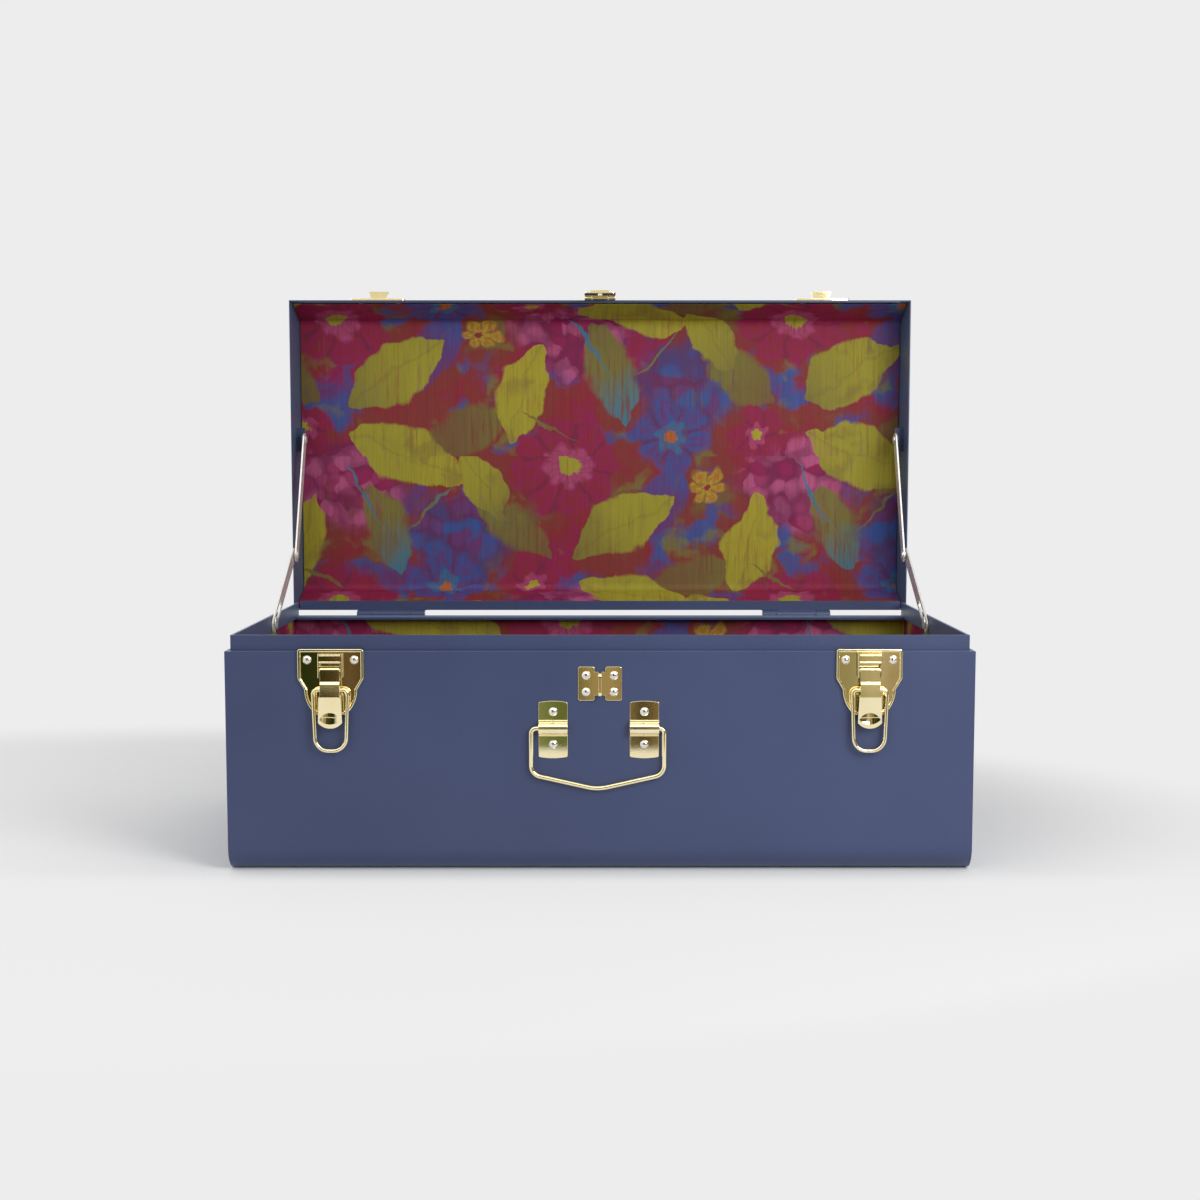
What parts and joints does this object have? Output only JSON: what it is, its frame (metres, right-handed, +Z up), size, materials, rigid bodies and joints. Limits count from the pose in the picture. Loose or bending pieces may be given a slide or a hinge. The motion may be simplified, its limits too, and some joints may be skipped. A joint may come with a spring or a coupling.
{
  "type": "storage trunk",
  "caption": "Steel storage trunk with a lined body, a hinged lid on folding stays, draw latches, a hasp and staple, and a front bail handle.",
  "frame": {"origin": "middle of the underside, on the floor", "axes": "+X to the trunk's right along its length, +Y from the front to the back, +Z up; the lid stands open at a right angle"},
  "size_m": [0.6, 0.3683, 0.493],
  "materials": {
    "blue_paint": "satin powder coat",
    "printed_lining": "printed paper on card",
    "brass": "polished brass plate",
    "nickel_rivet": "bright nickel",
    "bright_stay": "bright nickel plate"
  },
  "bodies": {
    "trunk": {"body_wrap": "blue_paint", "body_end_left": "blue_paint", "body_end_right": "blue_paint", "neck_frame": "blue_paint", "back_rail": "blue_paint", "body_lining_wrap": "printed_lining", "body_lining_left": "printed_lining", "body_lining_right": "printed_lining", "hinge_leaf_body_left": "blue_paint", "hinge_leaf_body_right": "blue_paint", "hinge_pin_left": "blue_paint", "hinge_pin_right": "blue_paint", "hinge_rivets_body": "blue_paint", "latch_plate_left": "brass", "latch_plate_right": "brass", "latch_pin_left": "brass", "latch_pin_right": "brass", "latch_rivets_left": "nickel_rivet", "latch_rivets_right": "nickel_rivet", "staple": "brass", "staple_rivets": "nickel_rivet", "handle_bracket_left": "brass", "handle_bracket_right": "brass", "handle_rivets": "nickel_rivet", "stay_stud_left": "bright_stay", "stay_stud_right": "bright_stay"},
    "lid": {"lid_wrap": "blue_paint", "lid_end_left": "blue_paint", "lid_end_right": "blue_paint", "lid_lining": "printed_lining", "hinge_leaf_lid_left": "blue_paint", "hinge_leaf_lid_right": "blue_paint", "hinge_rivets_lid": "blue_paint", "catch_plate_left": "brass", "catch_plate_right": "brass", "catch_rivets_left": "nickel_rivet", "catch_rivets_right": "nickel_rivet", "hasp_plate": "brass", "hasp_pin": "brass", "hasp_rivets": "nickel_rivet", "stay_bracket_left": "blue_paint", "stay_bracket_right": "blue_paint", "stay_lid_rivet_left": "bright_stay", "stay_lid_rivet_right": "bright_stay"},
    "handle": {"handle_bail": "brass"},
    "hasp": {"hasp_strap": "brass"},
    "lever_left": {"latch_lever_left": "brass"},
    "hoop_left": {"latch_hoop_left": "brass"},
    "upper_stay_left": {"stay_upper_left": "bright_stay", "stay_elbow_rivet_left": "bright_stay"},
    "lower_stay_left": {"stay_lower_left": "bright_stay"},
    "lever_right": {"latch_lever_right": "brass"},
    "hoop_right": {"latch_hoop_right": "brass"},
    "upper_stay_right": {"stay_upper_right": "bright_stay", "stay_elbow_rivet_right": "bright_stay"},
    "lower_stay_right": {"stay_lower_right": "bright_stay"}
  },
  "joints": [
    {"name": "lid_hinge", "type": "hinge", "parent": "trunk", "child": "lid", "pos_m": [0, 0.1545, 0.17925], "axis": [-1, 0, 0], "range_deg": [-90, 0]},
    {"name": "handle_swing", "type": "hinge", "parent": "trunk", "child": "handle", "pos_m": [-0.0019, -0.1528, 0.1174], "axis": [-1, 0, 0], "range_deg": [0, 110]},
    {"name": "hasp_swing", "type": "hinge", "parent": "lid", "child": "hasp", "pos_m": [0, 0.15795, 0.48585], "axis": [-1, 0, 0], "range_deg": [0, 150]},
    {"name": "latch_lever_left", "type": "hinge", "parent": "trunk", "child": "lever_left", "pos_m": [-0.215, -0.1546, 0.1644], "axis": [-1, 0, 0], "range_deg": [0, 120]},
    {"name": "latch_hoop_left", "type": "hinge", "parent": "lever_left", "child": "hoop_left", "pos_m": [-0.215, -0.1555, 0.1488], "axis": [1, 0, 0], "range_deg": [-180, 0]},
    {"name": "stay_lid_pivot_left", "type": "hinge", "parent": "lid", "child": "upper_stay_left", "pos_m": [-0.29, 0.169, 0.35], "axis": [-1, 0, 0], "range_deg": [-19.5, 0]},
    {"name": "stay_elbow_left", "type": "hinge", "parent": "upper_stay_left", "child": "lower_stay_left", "pos_m": [-0.291, 0.117, 0.24], "axis": [-1, 0, 0], "range_deg": [0, 141.74]},
    {"name": "latch_lever_right", "type": "hinge", "parent": "trunk", "child": "lever_right", "pos_m": [0.215, -0.1546, 0.1644], "axis": [-1, 0, 0], "range_deg": [0, 120]},
    {"name": "latch_hoop_right", "type": "hinge", "parent": "lever_right", "child": "hoop_right", "pos_m": [0.215, -0.1555, 0.1488], "axis": [1, 0, 0], "range_deg": [-180, 0]},
    {"name": "stay_lid_pivot_right", "type": "hinge", "parent": "lid", "child": "upper_stay_right", "pos_m": [0.29, 0.169, 0.35], "axis": [-1, 0, 0], "range_deg": [-19.5, 0]},
    {"name": "stay_elbow_right", "type": "hinge", "parent": "upper_stay_right", "child": "lower_stay_right", "pos_m": [0.291, 0.117, 0.24], "axis": [-1, 0, 0], "range_deg": [0, 141.74]}
  ],
  "couplings": [
    {"joint": "stay_lid_pivot_left", "follows": "lid_hinge", "ratio": 0.21446},
    {"joint": "stay_elbow_left", "follows": "lid_hinge", "ratio": -1.5726},
    {"joint": "stay_lid_pivot_right", "follows": "lid_hinge", "ratio": 0.21446},
    {"joint": "stay_elbow_right", "follows": "lid_hinge", "ratio": -1.5726}
  ]
}
